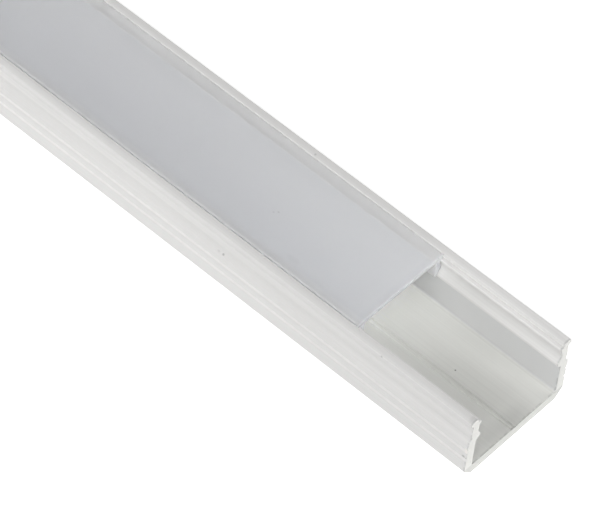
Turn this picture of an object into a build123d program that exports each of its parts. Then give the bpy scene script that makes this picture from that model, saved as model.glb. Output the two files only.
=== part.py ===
import os

from build123d import *

# Surface-mounted LED strip profile: an extruded aluminium channel that lies on its
# flat underside, and a frosted cover that snaps in between its rims. The bar runs
# along X, +Z is up and the origin is at the middle of the channel's underside.

# Bar, over all
bar_length = 300.0
bar_width = 17.0
bar_height = 10.2

# Aluminium, from the inside of the channel to its outermost faces
floor_thickness = 1.4
wall_thickness = 1.2
floor_corner_radius = 0.4
underside_chamfer = 1.25

# Rim at the top of each wall, and the seat below it that carries the cover
rim_width = 1.15
rim_crown = 0.14
seat_width = 0.5
seat_nose_height = 0.35

# Snap groove under the seat, and the catch rib that closes it from below
groove_height = 1.95
groove_depth = 0.32
rib_reach = 0.2
rib_height = 0.35
rib_lead_height = 0.3
rib_heel_height = 0.5

# Recess along the upper half of each outer face, with a low land in its middle
rim_band_height = 0.6
recess_height = 3.3
recess_depth = 0.45
recess_roof_height = 0.3
recess_ramp_height = 0.6
land_height = 0.75
land_rise = 0.1
land_slope_height = 0.2

# Two V grooves along the lower half of each outer face
upper_side_groove = 4.88
lower_side_groove = 3.33
side_groove_width = 0.6
side_groove_depth = 0.28

# Pair of fine scored lines along the middle of the floor, a guide for drilling
guide_spacing = 0.54
guide_width = 0.24
guide_depth = 0.16

# Rounding of the channel's edges
rim_radius = 0.2
outer_edge_radius = 0.12
seat_edge_radius = 0.15
rib_edge_radius = 0.3

# Cover, an extrusion of its own, as long as the bar and drawn back from its end
cover_thickness = 0.6
cover_setback = 18.0
cover_edge_radius = 0.15
leg_thickness = 0.65
leg_root_radius = 0.2
leg_tip_taper = 0.15
leg_tip_taper_height = 0.35

# Clearances between the cover and the channel
side_clearance = 0.1
seat_clearance = 0.03
leg_clearance = 0.15
bead_clearance = 0.08
bead_end_clearance = 0.25
tip_clearance = 0.12

# Half widths, measured from the middle of the bar
half_width = bar_width / 2
wall_inner = half_width - wall_thickness
rim_inner = half_width - rim_width
rim_middle = half_width - rim_width / 2
seat_inner = rim_inner - seat_width
rib_inner = seat_inner - rib_reach

# Heights of the inner features, worked down from the cover's place under the rim
rim_shoulder = bar_height - rim_crown
seat_top = bar_height - cover_thickness - seat_clearance
nose_bottom = seat_top - seat_nose_height
groove_bottom = nose_bottom - groove_height
groove_middle = nose_bottom - groove_height / 2
rib_top = groove_bottom - rib_lead_height
rib_bottom = rib_top - rib_height
rib_root = rib_bottom - rib_heel_height

# Heights and faces of the outer features
recess_top = bar_height - rim_band_height
recess_bottom = recess_top - recess_height
recess_middle = recess_top - recess_height / 2
recess_face = half_width - recess_depth
land_top = recess_middle + land_height / 2
land_bottom = recess_middle - land_height / 2
land_face = recess_face + land_rise
side_groove_bottom = half_width - side_groove_depth
lowest_groove_edge = lower_side_groove - side_groove_width / 2

# Places of the cover, from the channel's seat, groove and rib
cover_half_width = rim_inner - side_clearance
cover_bottom = seat_top + seat_clearance
cover_top = cover_bottom + cover_thickness
leg_outer = seat_inner - leg_clearance
leg_inner = leg_outer - leg_thickness
leg_bottom = rib_top + tip_clearance
bead_tip = seat_inner + groove_depth - bead_clearance
bead_top = nose_bottom - bead_end_clearance
bead_bottom = groove_bottom + bead_end_clearance

section_tolerance = 0.01


# Channel: one half of its section is drawn on the +Y side and mirrored
with BuildPart() as channel_profile:
    with BuildSketch(Plane.YZ.offset(-bar_length / 2)) as channel_section:
        Rectangle(half_width, rim_shoulder, align=(Align.MIN, Align.MIN))
        lower_corner = channel_section.vertices().group_by(Axis.Y)[0].sort_by(Axis.X)[-1]
        chamfer(lower_corner, underside_chamfer)

        # Crowned top of the wall's rim
        with BuildLine():
            ThreePointArc(
                (rim_inner, rim_shoulder),
                (rim_middle, bar_height),
                (half_width, rim_shoulder),
            )
            Line((half_width, rim_shoulder), (rim_inner, rim_shoulder))
        make_face()

        # Space between the walls
        with Locations((0, floor_thickness)):
            Rectangle(
                wall_inner,
                bar_height - floor_thickness,
                align=(Align.MIN, Align.MIN),
                mode=Mode.SUBTRACT,
            )
        floor_corner = (
            channel_section.vertices()
            .filter_by_position(Axis.X, wall_inner - section_tolerance, wall_inner + section_tolerance)
            .sort_by(Axis.Y)[0]
        )
        fillet(floor_corner, floor_corner_radius)

        # Rail inside the wall: the catch rib at its foot and the cover's seat on top
        with BuildLine():
            Polyline(
                (wall_inner + seat_width, rib_root),
                (wall_inner, rib_root),
                (rib_inner, rib_bottom),
                (rib_inner, rib_top),
                (seat_inner, groove_bottom),
                (seat_inner, seat_top),
                (wall_inner + seat_width, seat_top),
                close=True,
            )
        make_face()

        # Room for the cover's plate between the rims
        with Locations((0, seat_top)):
            Rectangle(
                rim_inner,
                bar_height - seat_top,
                align=(Align.MIN, Align.MIN),
                mode=Mode.SUBTRACT,
            )

        # Rounded snap groove
        with BuildLine():
            ThreePointArc(
                (seat_inner, nose_bottom),
                (seat_inner + groove_depth, groove_middle),
                (seat_inner, groove_bottom),
            )
            Line((seat_inner, groove_bottom), (seat_inner, nose_bottom))
        make_face(mode=Mode.SUBTRACT)

        # Recess under the rim, on the outside
        with BuildLine():
            Polyline(
                (half_width, recess_top),
                (recess_face, recess_top - recess_roof_height),
                (recess_face, land_top + land_slope_height),
                (land_face, land_top),
                (land_face, land_bottom),
                (recess_face, land_bottom - land_slope_height),
                (recess_face, recess_bottom + recess_ramp_height),
                (half_width, recess_bottom),
                close=True,
            )
        make_face(mode=Mode.SUBTRACT)

        # V grooves lower on the outside
        for groove_height_on_side in (upper_side_groove, lower_side_groove):
            with BuildLine():
                Polyline(
                    (half_width, groove_height_on_side + side_groove_width / 2),
                    (side_groove_bottom, groove_height_on_side),
                    (half_width, groove_height_on_side - side_groove_width / 2),
                    close=True,
                )
            make_face(mode=Mode.SUBTRACT)

        # Edges that the drawn and lacquered bar has rounded
        rim_edges = channel_section.vertices().filter_by_position(
            Axis.Y, rim_shoulder - section_tolerance, rim_shoulder + section_tolerance
        )
        fillet(rim_edges, rim_radius)
        outer_edges = (
            channel_section.vertices()
            .filter_by_position(Axis.X, half_width - section_tolerance, half_width + section_tolerance)
            .filter_by_position(
                Axis.Y, lowest_groove_edge - section_tolerance, recess_top + section_tolerance
            )
        )
        fillet(outer_edges, outer_edge_radius)
        seat_edge = (
            channel_section.vertices()
            .filter_by_position(Axis.Y, seat_top - section_tolerance, seat_top + section_tolerance)
            .sort_by(Axis.X)[0]
        )
        fillet(seat_edge, seat_edge_radius)
        rib_edges = channel_section.vertices().filter_by_position(
            Axis.X, rib_inner - section_tolerance, rib_inner + section_tolerance
        )
        fillet(rib_edges, rib_edge_radius)

        # Scored line of the drilling guide
        with BuildLine():
            Polyline(
                (guide_spacing / 2 - guide_width / 2, floor_thickness),
                (guide_spacing / 2, floor_thickness - guide_depth),
                (guide_spacing / 2 + guide_width / 2, floor_thickness),
                close=True,
            )
        make_face(mode=Mode.SUBTRACT)

        mirror(about=Plane.YZ)
    extrude(amount=bar_length)
channel_profile.part.label = "channel_profile"


# Cover: a thin plate with two legs, whose beads spring into the snap grooves
with BuildPart() as diffuser_cover:
    with BuildSketch(Plane.YZ.offset(-bar_length / 2 - cover_setback)) as cover_section:
        with Locations((0, cover_bottom)):
            Rectangle(cover_half_width, cover_thickness, align=(Align.MIN, Align.MIN))
        plate_edges = cover_section.vertices().filter_by_position(
            Axis.X, cover_half_width - section_tolerance, cover_half_width + section_tolerance
        )
        fillet(plate_edges.sort_by(Axis.Y)[-1], cover_edge_radius)

        # Leg with a tapered tip
        with BuildLine():
            Polyline(
                (leg_inner, cover_bottom),
                (leg_inner, leg_bottom),
                (leg_outer - leg_tip_taper, leg_bottom),
                (leg_outer, leg_bottom + leg_tip_taper_height),
                (leg_outer, cover_bottom),
                close=True,
            )
        make_face()

        # Rounded bead on the leg's outer side
        with BuildLine():
            ThreePointArc(
                (leg_outer, bead_top),
                (bead_tip, groove_middle),
                (leg_outer, bead_bottom),
            )
            Line((leg_outer, bead_bottom), (leg_outer, bead_top))
        make_face()

        leg_root = (
            cover_section.vertices()
            .filter_by_position(Axis.X, leg_inner - section_tolerance, leg_inner + section_tolerance)
            .sort_by(Axis.Y)[-1]
        )
        fillet(leg_root, leg_root_radius)

        mirror(about=Plane.YZ)
    extrude(amount=bar_length)
diffuser_cover.part.label = "diffuser_cover"


os.makedirs("parts", exist_ok=True)
export_step(channel_profile.part, "parts/channel_profile.step")
export_step(diffuser_cover.part, "parts/diffuser_cover.step")
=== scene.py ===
"""Dresses the LED strip profile: a white lacquered aluminium channel and its frosted snap-in cover.

Everything is in metres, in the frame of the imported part: +X runs along the bar towards its open
end, +Y across it and +Z up, with the origin at the middle of the channel's flat underside.
"""

import math

import bpy
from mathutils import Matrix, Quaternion, Vector

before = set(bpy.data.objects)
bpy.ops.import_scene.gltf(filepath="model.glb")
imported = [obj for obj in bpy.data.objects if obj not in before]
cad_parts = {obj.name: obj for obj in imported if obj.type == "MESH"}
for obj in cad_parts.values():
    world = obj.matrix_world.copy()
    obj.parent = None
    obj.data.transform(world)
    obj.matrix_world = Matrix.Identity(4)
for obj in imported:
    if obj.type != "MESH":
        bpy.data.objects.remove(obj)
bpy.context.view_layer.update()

MM = 0.001
white = (1.0, 1.0, 1.0, 1.0)

# Camera: where the photograph was taken from, found from the bar's long edges and its cut end
photo_width = 600
focal_length_px = 4077.6
sensor_width_mm = 36.0
camera_target = Vector((117.97, -1.03, 5.10)) * MM
camera_distance = 466.3 * MM
camera_azimuth = 37.565
camera_elevation = 51.175
camera_roll = 6.305
nearest_seen = 0.01
furthest_seen = 50.0

# Studio: a pale floor just under the bar, which is white further off, and a faint light all round
floor_size = 8.0
floor_colour = (0.93, 0.93, 0.93, 1.0)
floor_gap = 0.02 * MM
floor_glow = 0.5
floor_glow_far_off = 1.0
plain_floor_reach = 0.5
white_floor_from = 1.2
world_light = 0.04
world_seen = 1.0

# Soft round lamps: name, azimuth (0 is the bar's nearer side and 90 its open end), elevation, power
lamp_distance = 1.2
lamp_size = 0.8
lamps = (
    ("left lamp", -80.0, 15.0, 5.8),
    ("front lamp", 10.0, 15.0, 1.9),
    ("high lamp", 20.0, 40.0, 5.8),
    ("right lamp", 90.0, 15.0, 15.5),
    ("back lamp", 180.0, 40.0, 2.15),
    ("low back lamp", 180.0, 8.0, 2.5),
)

# Places on the part. Lengths from here on are in millimetres, and those times MM in metres.
half_length = 150.0
floor_top = 1.4
cover_setback = 18.0

# Ramps (from, to): 0 up to the first value and 1 past the second, which may be the smaller one
at_sawn_end = (half_length - 0.03, half_length - 0.01)
beside_saw_cut = (half_length - 0.32, half_length - 0.12)
inside_walls = (7.5, 7.4)
inside_near_wall = (-7.5, -7.4)
on_outer_half_of_walls = (7.8, 7.95)
on_outermost_faces = (8.4, 8.45)
nearer_half = (0.0, -1.0)
further_half = (0.0, 1.0)
above_underside = (0.8, 1.0)
on_rims = (10.0, 10.05)
below_rims = (10.05, 9.9)

# Areas of the channel. "along" is measured along the bar from its middle, "across" runs over the bar,
# "off" is measured off its middle plane, and "up" runs upwards. An area is where all its ramps are 1.
on_floor = [above_underside, (1.8, 1.5)]
on_low_wall = {"off": [(7.1, 7.25), inside_walls], "up": [(6.3, 6.0)]}
in_scored_lines = {"off": [(0.6, 0.5)], "up": [above_underside, (1.39, 1.32)]}

# White lacquer
lacquer_colour = (0.802, 0.796, 0.785, 1.0)
channel_floor_colour = (0.80, 0.803, 0.77, 1.0)
# Painted shade: the low inside walls are darker and cooler
low_wall_painted_shade_colour = (0.745, 0.75, 0.75, 1.0)
lacquer_roughness = 0.4
lacquer_gloss_change = 0.1
lacquer_bump = 0.001 * MM
line_spacing = (60.0, 0.16, 0.16)
line_contrast = 0.15
line_height = 0.35
orange_peel_size = (0.5, 0.35, 0.35)
lacquer_cloud_size = (9.0, 2.5, 2.5)
lacquer_cloud_contrast = 0.05

# Painted light and shade on the lacquer, where light or shade falls: the share of its colour that is
# added or, below 0, taken away, and the area
painted_light_and_shade_on_lacquer = {
    "scored lines of the floor": (0.06, in_scored_lines),
    # Painted shade in the further scored line
    "painted shade in the further scored line": (-0.09, {**in_scored_lines, "across": [(-0.02, 0.02)]}),
    # Painted shade in the floor's corners, along the foot of the walls
    "painted shade in the floor's corners": (
        -0.09,
        {"off": [(6.75, 7.05), inside_walls], "up": [above_underside, (1.95, 1.6)]},
    ),
    "rails inside the walls": (0.08, {"off": [inside_walls], "up": [(6.2, 6.6)]}),
    "noses of the seats": (0.13, {"off": [inside_walls], "up": [(9.15, 9.25), (9.56, 9.5)]}),
    "snap grooves": (
        -0.05,
        {"along": [(133.0, 138.0)], "off": [inside_walls], "up": [(7.3, 7.6), (9.2, 9.0)]},
    ),
    "seats under the cover": (
        0.12,
        {"along": [(131.8, 131.2)], "off": [(6.8, 6.9), inside_walls], "up": [(9.4, 9.5)]},
    ),
    "floor under the cover": (
        0.15,
        {"along": [(142.0, 131.0)], "off": [inside_walls], "up": on_floor},
    ),
    "floor below the cover's end": (
        0.13,
        {"along": [(133.0, 127.5)], "off": [inside_walls], "up": on_floor},
    ),
    "wall below the cover's end": (-0.085, {"along": [(136.0, 130.5)], **on_low_wall}),
    "sides of the floor": (
        0.065,
        {"along": [(128.0, 148.0)], "off": [(2.5, 5.0), inside_walls], "up": on_floor},
    ),
    "nearer half of the floor": (
        0.06,
        {"along": [(136.0, 142.0)], "across": [(0.4, -1.0), inside_near_wall], "up": on_floor},
    ),
    # Painted shade over the floor at its sawn end
    "painted shade at the floor's sawn end": (
        -0.2,
        {"along": [(147.0, 149.2)], "across": [(5.0, 0.0), inside_near_wall], "up": on_floor},
    ),
    "inside towards the sawn end": (-0.05, {"along": [(142.0, 150.0)], "off": [(7.95, 7.8)]}),
    "low walls towards the sawn end": (-0.04, {"along": [(143.0, 148.0)], **on_low_wall}),
    "nearer rim": (-0.045, {"along": [(95.0, 135.0)], "across": [nearer_half], "up": [on_rims]}),
    "nearer rim's inner edge": (
        0.12,
        {"across": [(-7.62, -7.5), (-7.3, -7.34)], "up": [(9.8, 9.9)]},
    ),
    "further rim": (0.025, {"across": [further_half], "up": [on_rims]}),
    "further rim beside the cover": (
        -0.08,
        {"along": [(134.0, 128.0)], "across": [further_half], "up": [on_rims]},
    ),
    "outside towards the sawn end": (
        -0.11,
        {"along": [(90.0, 150.0)], "off": [on_outer_half_of_walls], "up": [below_rims]},
    ),
    "bands above the recesses": (
        -0.04,
        {"along": [(100.0, 140.0)], "off": [on_outermost_faces], "up": [(9.5, 9.65), below_rims]},
    ),
    # Painted shade over the recesses in the outer faces
    "painted shade in the recesses": (
        -0.04,
        {"off": [(8.35, 8.1), on_outer_half_of_walls], "up": [(9.9, 9.6), (5.9, 6.2)]},
    ),
    "lands in the recesses": (0.05, {"off": [(8.07, 8.12)], "up": [(8.6, 8.5), (7.3, 7.4)]}),
    "ramps under the recesses": (
        0.035,
        {"along": [(110.0, 140.0)], "off": [(7.95, 8.05)], "up": [(6.0, 6.2), (7.0, 6.8)]},
    ),
    "V grooves": (0.09, {"off": [(8.48, 8.38), (8.0, 8.15)], "up": [(5.5, 5.3), (2.8, 2.95)]}),
    "foot of the outer faces": (0.02, {"off": [on_outermost_faces], "up": [(3.0, 2.85)]}),
}

# Lacquer chipped beside the saw cut, dust specks, and single marks as (centre, half sizes, depth),
# one a painted shadow
chip_size = (0.5, 0.5, 0.5)
chip_edge = (0.38, 0.55)
chip_depth = 0.2
dust_spacing = (7.0, 7.0, 7.0)
dust_depth = 0.35
lacquer_dust = {"size": 0.016, "share": 0.35}
lacquer_marks_and_painted_nick_shadow = (
    ((140.0, 1.42, 1.4), (0.14, 0.14, 0.14), 0.7),
    ((136.63, -8.45, 9.95), (0.2, 0.17, 0.17), 0.3),
    ((112.7, -8.3, 6.5), (0.22, 0.25, 0.2), 0.35),
    ((112.0, -8.3, 6.5), (0.3, 0.25, 0.2), 0.12),
    ((111.9, 7.7, 10.2), (0.2, 0.2, 0.2), 0.25),
    # Painted shadow of a nick in the near wall's outer face at the sawn end
    ((149.5, -8.45, 3.85), (0.3, 0.5, 0.24), 0.35),
    ((149.6, -7.8, 10.15), (0.55, 0.9, 0.5), 0.12),
)

# Bare metal of the sawn ends
metal_colour = (0.58, 0.58, 0.56, 1.0)
metal_roughness = 0.45
metal_gloss_change = 0.2
saw_angle = math.radians(24.0)
saw_line_spacing = (1.0, 0.09, 9.0)
saw_line_contrast = 0.12
cut_floor_darkening = 0.16
down_cut_floor = (floor_top + 0.3, floor_top)
scraped_colour = (0.82, 0.79, 0.76, 1.0)
scrape_centre = (149.75, -8.5, 5.0)
scrape_size = (0.4, 0.5, 0.6)

# Frosted plastic of the cover. Each tone (colour, place, ramp) is laid over the ones before it.
frosted_colour = (0.735, 0.745, 0.77, 1.0)
# Painted light and shade: darker on the nearer side, lighter towards the far edge, over both legs, at
# the edges and underneath
frosted_painted_light_and_shade = {
    "further half": ((0.825, 0.835, 0.86, 1.0), "across", (-7.0, 5.0)),
    "over the further leg": ((0.98, 0.985, 1.0, 1.0), "across", (5.3, 5.9)),
    "further edge": ((0.99, 0.99, 1.0, 1.0), "across", (6.5, 7.1)),
    "over the nearer leg": ((0.815, 0.82, 0.84, 1.0), "across", (-6.1, -6.6)),
    "nearer edge": ((0.85, 0.855, 0.865, 1.0), "across", (-7.0, -7.1)),
    "underside and legs": ((0.97, 0.975, 0.985, 1.0), "up", (9.75, 9.62)),
}
cut_plastic_colour = (0.468, 0.465, 0.489, 1.0)
# Painted light on the cut faces: lighter over their further half, further edge and legs
cut_plastic_painted_light = {
    "further half": ((0.517, 0.52, 0.537, 1.0), "across", (-1.5, 3.5)),
    "further edge": ((0.567, 0.577, 0.586, 1.0), "across", (5.6, 6.4)),
    "legs": ((0.60, 0.61, 0.63, 1.0), "up", (9.65, 9.55)),
}
towards_cut_end = (half_length - 1.2, half_length)
end_darkening = 0.09
frosted_roughness = 0.8
frosted_gloss_change = 0.12
frosted_transmission = 0.35
frosted_ior = 1.4
frosted_depth = 1.0 * MM
frost_bump = 0.0006 * MM
frost_grain_size = (0.25, 0.25, 0.25)
frost_grain_contrast = 0.015
frost_cloud_size = (14.0, 5.0, 5.0)
frost_cloud_contrast = 0.02
frost_line_contrast = 0.012
frost_line_height = 0.5
cover_dust = {"size": 0.013, "share": 0.25}
cover_marks = (
    ((114.75, -1.65, 10.2), (0.2, 0.16, 0.2), 0.18),
    ((114.35, -2.05, 10.2), (0.2, 0.16, 0.2), 0.12),
    ((120.5, -5.5, 10.2), (1.3, 0.5, 0.5), 0.04),
)

# Patterns: how fine and how rough their noise is, and how a spot fades from its core to its rim
line_noise = {"detail": 3.0, "roughness": 0.65}
grain_noise = {"detail": 2.0, "roughness": 0.5}
noise_average = 0.5
spot_rim = 1.0
spot_core = 0.35

# Sockets of a Mix node that mixes colours, and kinds of socket that a node group can have
mix_amount = 0
mix_first = 6
mix_second = 7
mix_result = 2
vector_kind = "NodeSocketVector"
number_kind = "NodeSocketFloat"


# Nodes that the studio and the materials share

def feed(tree, source, socket):
    """Joins an output to a socket, or sets the socket to a plain number, vector or colour."""
    if isinstance(source, bpy.types.NodeSocket):
        tree.links.new(source, socket)
    elif socket.type == "VECTOR":
        socket.default_value = source[:3]
    else:
        socket.default_value = source


def calculate(tree, operation, first, second=0.0, third=0.0):
    node = tree.nodes.new("ShaderNodeMath")
    node.operation = operation
    feed(tree, first, node.inputs[0])
    feed(tree, second, node.inputs[1])
    feed(tree, third, node.inputs[2])
    return node.outputs[0]


def calculate_vector(tree, operation, first, second=(0.0, 0.0, 0.0)):
    node = tree.nodes.new("ShaderNodeVectorMath")
    node.operation = operation
    feed(tree, first, node.inputs[0])
    feed(tree, second, node.inputs[1])
    return node.outputs["Value" if operation == "LENGTH" else "Vector"]


def scale_vector(tree, vector, factor):
    node = tree.nodes.new("ShaderNodeVectorMath")
    node.operation = "SCALE"
    feed(tree, vector, node.inputs[0])
    feed(tree, factor, node.inputs["Scale"])
    return node.outputs[0]


def seen_directly(tree):
    """1 for the rays that only look at a surface or the sky: camera, glossy and transmitted rays."""
    path = tree.nodes.new("ShaderNodeLightPath")
    seen = calculate(tree, "MAXIMUM", path.outputs["Is Camera Ray"], path.outputs["Is Glossy Ray"])
    return calculate(tree, "MAXIMUM", seen, path.outputs["Is Transmission Ray"])


# Camera and studio

def direction_from(azimuth, elevation):
    turn = math.radians(azimuth)
    tilt = math.radians(elevation)
    return Vector((math.sin(turn) * math.cos(tilt), -math.cos(turn) * math.cos(tilt), math.sin(tilt)))


def make_camera():
    data = bpy.data.cameras.new("camera")
    data.sensor_fit = "HORIZONTAL"
    data.sensor_width = sensor_width_mm
    data.lens = focal_length_px * sensor_width_mm / photo_width
    data.clip_start = nearest_seen
    data.clip_end = furthest_seen
    camera = bpy.data.objects.new("camera", data)
    back = direction_from(camera_azimuth, camera_elevation)
    camera.location = camera_target + back * camera_distance
    camera.rotation_mode = "QUATERNION"
    roll = Quaternion((0.0, 0.0, 1.0), math.radians(camera_roll))
    camera.rotation_quaternion = (-back).to_track_quat("-Z", "Y") @ roll
    bpy.context.scene.collection.objects.link(camera)
    bpy.context.scene.camera = camera


def make_background(tree, strength):
    background = tree.nodes.new("ShaderNodeBackground")
    background.inputs["Color"].default_value = white
    background.inputs["Strength"].default_value = strength
    return background.outputs[0]


def make_world():
    world = bpy.data.worlds.new("studio")
    bpy.context.scene.world = world
    world.use_nodes = True
    tree = world.node_tree
    tree.nodes.clear()
    mix = tree.nodes.new("ShaderNodeMixShader")
    output = tree.nodes.new("ShaderNodeOutputWorld")
    feed(tree, seen_directly(tree), mix.inputs["Fac"])
    feed(tree, make_background(tree, world_light), mix.inputs[1])
    feed(tree, make_background(tree, world_seen), mix.inputs[2])
    feed(tree, mix.outputs[0], output.inputs["Surface"])


def make_floor():
    bpy.ops.mesh.primitive_plane_add(size=floor_size, location=(0.0, 0.0, -floor_gap))
    floor = bpy.context.object
    floor.name = "floor"
    material = bpy.data.materials.new("floor")
    material.use_nodes = True
    tree = material.node_tree
    tree.nodes.clear()
    diffuse = tree.nodes.new("ShaderNodeBsdfDiffuse")
    diffuse.inputs["Color"].default_value = floor_colour
    glow = tree.nodes.new("ShaderNodeEmission")
    glow.inputs["Color"].default_value = white
    where = tree.nodes.new("ShaderNodeTexCoord")
    far_off = calculate_vector(tree, "LENGTH", where.outputs["Object"])
    glow_here = tree.nodes.new("ShaderNodeMapRange")
    glow_here.inputs["From Min"].default_value = plain_floor_reach
    glow_here.inputs["From Max"].default_value = white_floor_from
    glow_here.inputs["To Min"].default_value = floor_glow
    glow_here.inputs["To Max"].default_value = floor_glow_far_off
    feed(tree, far_off, glow_here.inputs["Value"])
    strength = calculate(tree, "MULTIPLY", seen_directly(tree), glow_here.outputs[0])
    feed(tree, strength, glow.inputs["Strength"])
    total = tree.nodes.new("ShaderNodeAddShader")
    output = tree.nodes.new("ShaderNodeOutputMaterial")
    feed(tree, diffuse.outputs[0], total.inputs[0])
    feed(tree, glow.outputs[0], total.inputs[1])
    feed(tree, total.outputs[0], output.inputs["Surface"])
    floor.data.materials.append(material)


def make_lamp(name, azimuth, elevation, power):
    data = bpy.data.lights.new(name, "AREA")
    data.shape = "DISK"
    data.size = lamp_size
    data.energy = power
    lamp = bpy.data.objects.new(name, data)
    towards = direction_from(azimuth, elevation)
    lamp.location = camera_target + towards * lamp_distance
    lamp.rotation_mode = "QUATERNION"
    lamp.rotation_quaternion = (-towards).to_track_quat("-Z", "Y")
    bpy.context.scene.collection.objects.link(lamp)


# Colours and masks of a material

def blend(tree, amount, first, second):
    """The first colour where amount is 0 and the second where it is 1."""
    node = tree.nodes.new("ShaderNodeMix")
    node.data_type = "RGBA"
    feed(tree, amount, node.inputs[mix_amount])
    feed(tree, first, node.inputs[mix_first])
    feed(tree, second, node.inputs[mix_second])
    return node.outputs[mix_result]


def darken(tree, colour, amount, depth):
    """The colour, less the share depth of it where amount is 1."""
    share = calculate(tree, "MULTIPLY_ADD", amount, -depth, 1.0)
    return scale_vector(tree, colour, share)


def mottle(tree, colour, pattern, contrast):
    """The colour, darker where the pattern is above its average and lighter where it is below."""
    return darken(tree, colour, calculate(tree, "SUBTRACT", pattern, noise_average), contrast)


def rise(tree, value, low, high):
    """0 below low, 1 above high and smooth between them; it falls where low is the larger."""
    node = tree.nodes.new("ShaderNodeMapRange")
    node.interpolation_type = "SMOOTHSTEP"
    feed(tree, value, node.inputs["Value"])
    node.inputs["From Min"].default_value = low
    node.inputs["From Max"].default_value = high
    return node.outputs[0]


def soft_area(tree, places, area):
    """1 inside the area and 0 outside it, by the ramps that it has along each of the places."""
    mask = 1.0
    for place, ramps in area.items():
        for low, high in ramps:
            mask = calculate(tree, "MULTIPLY", mask, rise(tree, places[place], low, high))
    return mask


def lay_over(tree, colour, places, tones):
    """The colour with each tone laid over it where the tone's ramp is 1."""
    for tone, place, (low, high) in tones.values():
        colour = blend(tree, rise(tree, places[place], low, high), colour, tone)
    return colour


def place_in_mm(tree):
    """The point on the piece, in millimetres, and its x, y and z."""
    where = tree.nodes.new("ShaderNodeTexCoord")
    point = scale_vector(tree, where.outputs["Object"], 1.0 / MM)
    apart = tree.nodes.new("ShaderNodeSeparateXYZ")
    feed(tree, point, apart.inputs[0])
    return point, apart.outputs[0], apart.outputs[1], apart.outputs[2]


# Patterns, as node groups that both materials use

def start_group(name, takes, gives):
    """A node group: takes has the names and kinds of its inputs, and gives the name of its output."""
    group = bpy.data.node_groups.new(name, "ShaderNodeTree")
    for label, kind in takes.items():
        group.interface.new_socket(label, in_out="INPUT", socket_type=kind)
    group.interface.new_socket(gives, in_out="OUTPUT", socket_type=number_kind)
    inside = group.nodes.new("NodeGroupInput")
    outside = group.nodes.new("NodeGroupOutput")
    return group, inside.outputs, outside.inputs[gives]


def use_group(tree, group, **values):
    """Places a group in a material; each of its inputs is named in lower case."""
    node = tree.nodes.new("ShaderNodeGroup")
    node.node_tree = group
    for name, value in values.items():
        feed(tree, value, node.inputs[name.capitalize()])
    return node.outputs[0]


def make_noise(name, detail, roughness):
    """Noise whose features have the given size, a vector of lengths: 0 to 1, 0.5 on average."""
    group, takes, gives = start_group(name, {"Point": vector_kind, "Size": vector_kind}, "Noise")
    node = group.nodes.new("ShaderNodeTexNoise")
    node.inputs["Scale"].default_value = 1.0
    node.inputs["Detail"].default_value = detail
    node.inputs["Roughness"].default_value = roughness
    in_sizes = calculate_vector(group, "DIVIDE", takes["Point"], takes["Size"])
    feed(group, in_sizes, node.inputs["Vector"])
    feed(group, node.outputs[0], gives)
    return group


def make_spot():
    """One soft-edged spot, 1 at its centre and 0 outside its half sizes."""
    inputs = {"Point": vector_kind, "Centre": vector_kind, "Size": vector_kind}
    group, takes, gives = start_group("spot", inputs, "Spot")
    offset = calculate_vector(group, "SUBTRACT", takes["Point"], takes["Centre"])
    in_half_sizes = calculate_vector(group, "DIVIDE", offset, takes["Size"])
    reach = calculate_vector(group, "LENGTH", in_half_sizes)
    feed(group, rise(group, reach, spot_rim, spot_core), gives)
    return group


def make_dust_specks():
    """Sparse tiny specks: 1 on a speck and 0 elsewhere. A share of the cells have a speck each."""
    inputs = {"Point": vector_kind, "Spacing": vector_kind, "Size": number_kind, "Share": number_kind}
    group, takes, gives = start_group("dust specks", inputs, "Speck")
    cells = group.nodes.new("ShaderNodeTexVoronoi")
    cells.inputs["Scale"].default_value = 1.0
    in_cells = calculate_vector(group, "DIVIDE", takes["Point"], takes["Spacing"])
    feed(group, in_cells, cells.inputs["Vector"])
    inside = calculate(group, "LESS_THAN", cells.outputs["Distance"], takes["Size"])
    lot = group.nodes.new("ShaderNodeSeparateColor")
    feed(group, cells.outputs["Color"], lot.inputs[0])
    kept = calculate(group, "LESS_THAN", lot.outputs[0], takes["Share"])
    feed(group, calculate(group, "MULTIPLY", inside, kept), gives)
    return group


# Parts of a material

def start_material(name):
    material = bpy.data.materials.new(name)
    material.use_nodes = True
    return material.node_tree, material.node_tree.nodes["Principled BSDF"], material


def add_marks(tree, colour, point, marks):
    """The colour with single specks and marks, each given as (centre, half sizes, depth)."""
    for centre, size, depth in marks:
        mark = use_group(tree, spot, point=point, centre=centre, size=size)
        colour = darken(tree, colour, mark, depth)
    return colour


def add_dust(tree, colour, point, amount):
    dust = use_group(tree, dust_specks, point=point, spacing=dust_spacing, **amount)
    return darken(tree, colour, dust, dust_depth)


def vary(tree, pattern, middle, change):
    """A roughness that goes up and down with the pattern around its middle value."""
    return calculate(tree, "MULTIPLY_ADD", pattern, change, middle - change / 2)


def raise_surface(tree, shader, height, depth):
    """Bump of that depth in metres."""
    bump = tree.nodes.new("ShaderNodeBump")
    bump.inputs["Strength"].default_value = 1.0
    bump.inputs["Distance"].default_value = depth
    feed(tree, height, bump.inputs["Height"])
    feed(tree, bump.outputs[0], shader.inputs["Normal"])


# White lacquer on aluminium, with bare metal where the bar is sawn off

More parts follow.
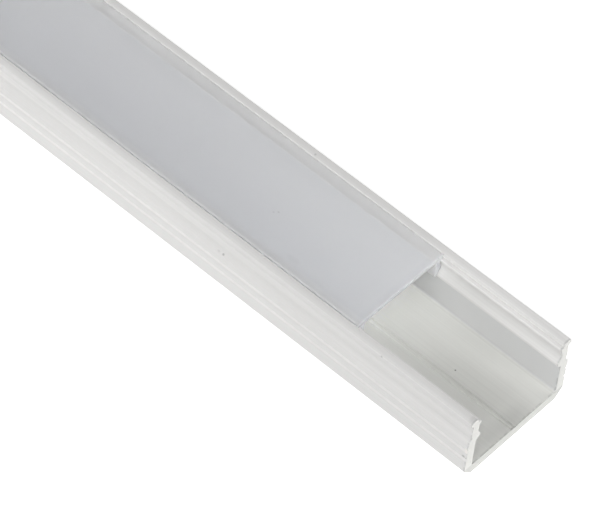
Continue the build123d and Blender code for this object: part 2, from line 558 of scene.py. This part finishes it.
def make_white_lacquer():
    tree, shader, material = start_material("white lacquer")
    point, x, y, z = place_in_mm(tree)
    from_middle = calculate(tree, "ABSOLUTE", x)
    sawn = rise(tree, from_middle, *at_sawn_end)

    # Lacquer, a little yellower on the floor, with faint die lines along the bar and an even grain
    places = {"along": from_middle, "across": y, "off": calculate(tree, "ABSOLUTE", y), "up": z}
    floor = soft_area(tree, places, {"off": [inside_walls], "up": on_floor})
    colour = blend(tree, floor, lacquer_colour, channel_floor_colour)
    line = use_group(tree, drawn_lines, point=point, size=line_spacing)
    wave = use_group(tree, grain, point=point, size=orange_peel_size)
    cloud = use_group(tree, grain, point=point, size=lacquer_cloud_size)
    colour = mottle(tree, colour, line, line_contrast)
    colour = mottle(tree, colour, cloud, lacquer_cloud_contrast)

    # Painted light and shade: the low inside walls painted darker and cooler, then lighter and darker
    # areas
    low_wall = soft_area(tree, places, on_low_wall)
    colour = blend(tree, low_wall, colour, low_wall_painted_shade_colour)
    for change, area in painted_light_and_shade_on_lacquer.values():
        colour = darken(tree, colour, soft_area(tree, places, area), -change)

    # Lacquer chipped in a thin broken line along the saw cut
    chips = use_group(tree, grain, point=point, size=chip_size)
    chips = rise(tree, chips, *chip_edge)
    beside_cut = rise(tree, from_middle, *beside_saw_cut)
    colour = darken(tree, colour, calculate(tree, "MULTIPLY", beside_cut, chips), chip_depth)

    # Single specks and marks where the photograph has them, and sparse dust
    # One of these marks is a painted shadow of a nick at the sawn end
    colour = add_marks(tree, colour, point, lacquer_marks_and_painted_nick_shadow)
    colour = add_dust(tree, colour, point, lacquer_dust)

    # Metal scraped bare on the near wall's edge, and the sawn ends with their saw lines, darker below
    # the floor's top
    scrape = use_group(tree, spot, point=point, centre=scrape_centre, size=scrape_size)
    colour = blend(tree, scrape, colour, scraped_colour)
    saw_turn = tree.nodes.new("ShaderNodeMapping")
    saw_turn.inputs["Rotation"].default_value = (saw_angle, 0.0, 0.0)
    feed(tree, point, saw_turn.inputs["Vector"])
    saw_line = use_group(tree, drawn_lines, point=saw_turn.outputs[0], size=saw_line_spacing)
    metal = mottle(tree, metal_colour, saw_line, saw_line_contrast)
    metal = darken(tree, metal, rise(tree, z, *down_cut_floor), cut_floor_darkening)
    colour = blend(tree, sawn, colour, metal)
    feed(tree, colour, shader.inputs["Base Color"])
    feed(tree, sawn, shader.inputs["Metallic"])

    # Roughness and height, each going over from the lacquer's to the metal's
    gloss = vary(tree, wave, lacquer_roughness, lacquer_gloss_change)
    saw_gloss = vary(tree, saw_line, metal_roughness, metal_gloss_change)
    gloss_gap = calculate(tree, "SUBTRACT", saw_gloss, gloss)
    feed(tree, calculate(tree, "MULTIPLY_ADD", sawn, gloss_gap, gloss), shader.inputs["Roughness"])
    lacquer_height = calculate(tree, "MULTIPLY_ADD", line, line_height, wave)
    height_gap = calculate(tree, "SUBTRACT", saw_line, lacquer_height)
    height = calculate(tree, "MULTIPLY_ADD", sawn, height_gap, lacquer_height)
    raise_surface(tree, shader, height, lacquer_bump)
    return material


# Frosted plastic of the cover

def make_frosted_cover():
    tree, shader, material = start_material("frosted cover")
    point, x, y, z = place_in_mm(tree)

    # Painted light and shade: the plastic darker on its nearer side and whiter towards its far edge,
    # over the legs, at its edges, and on its underside and legs
    places = {"across": y, "up": z}
    colour = lay_over(tree, frosted_colour, places, frosted_painted_light_and_shade)

    # Faint die lines, clouds and grain, and the few marks on it
    line = use_group(tree, drawn_lines, point=point, size=line_spacing)
    cloud = use_group(tree, grain, point=point, size=frost_cloud_size)
    frost = use_group(tree, grain, point=point, size=frost_grain_size)
    colour = mottle(tree, colour, line, frost_line_contrast)
    colour = mottle(tree, colour, cloud, frost_cloud_contrast)
    colour = mottle(tree, colour, frost, frost_grain_contrast)
    colour = add_marks(tree, colour, point, cover_marks)
    colour = add_dust(tree, colour, point, cover_dust)

    # A little darker towards the ends, and darker still on the cut faces, where less light comes out
    from_its_middle = calculate(tree, "ABSOLUTE", calculate(tree, "ADD", x, cover_setback))
    colour = darken(tree, colour, rise(tree, from_its_middle, *towards_cut_end), end_darkening)
    cut = rise(tree, from_its_middle, *at_sawn_end)
    # Painted light lightens the cut faces over their further half, further edge and legs
    cut_colour = lay_over(tree, cut_plastic_colour, places, cut_plastic_painted_light)
    colour = blend(tree, cut, colour, cut_colour)
    feed(tree, colour, shader.inputs["Base Color"])

    gloss = vary(tree, cloud, frosted_roughness, frosted_gloss_change)
    feed(tree, gloss, shader.inputs["Roughness"])
    height = calculate(tree, "MULTIPLY_ADD", line, frost_line_height, frost)
    raise_surface(tree, shader, height, frost_bump)
    shader.inputs["Transmission Weight"].default_value = frosted_transmission
    shader.inputs["IOR"].default_value = frosted_ior
    shader.inputs["Subsurface Weight"].default_value = 1.0
    shader.inputs["Subsurface Radius"].default_value = (1.0, 1.0, 1.0)
    shader.inputs["Subsurface Scale"].default_value = frosted_depth
    return material


def dress(node, material):
    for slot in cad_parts[node].material_slots:
        slot.material = material


make_camera()
make_world()
make_floor()
for lamp in lamps:
    make_lamp(*lamp)
drawn_lines = make_noise("drawn lines", **line_noise)
grain = make_noise("grain", **grain_noise)
spot = make_spot()
dust_specks = make_dust_specks()
dress("channel_profile", make_white_lacquer())
dress("diffuser_cover", make_frosted_cover())

bpy.context.scene.view_settings.view_transform = "Standard"
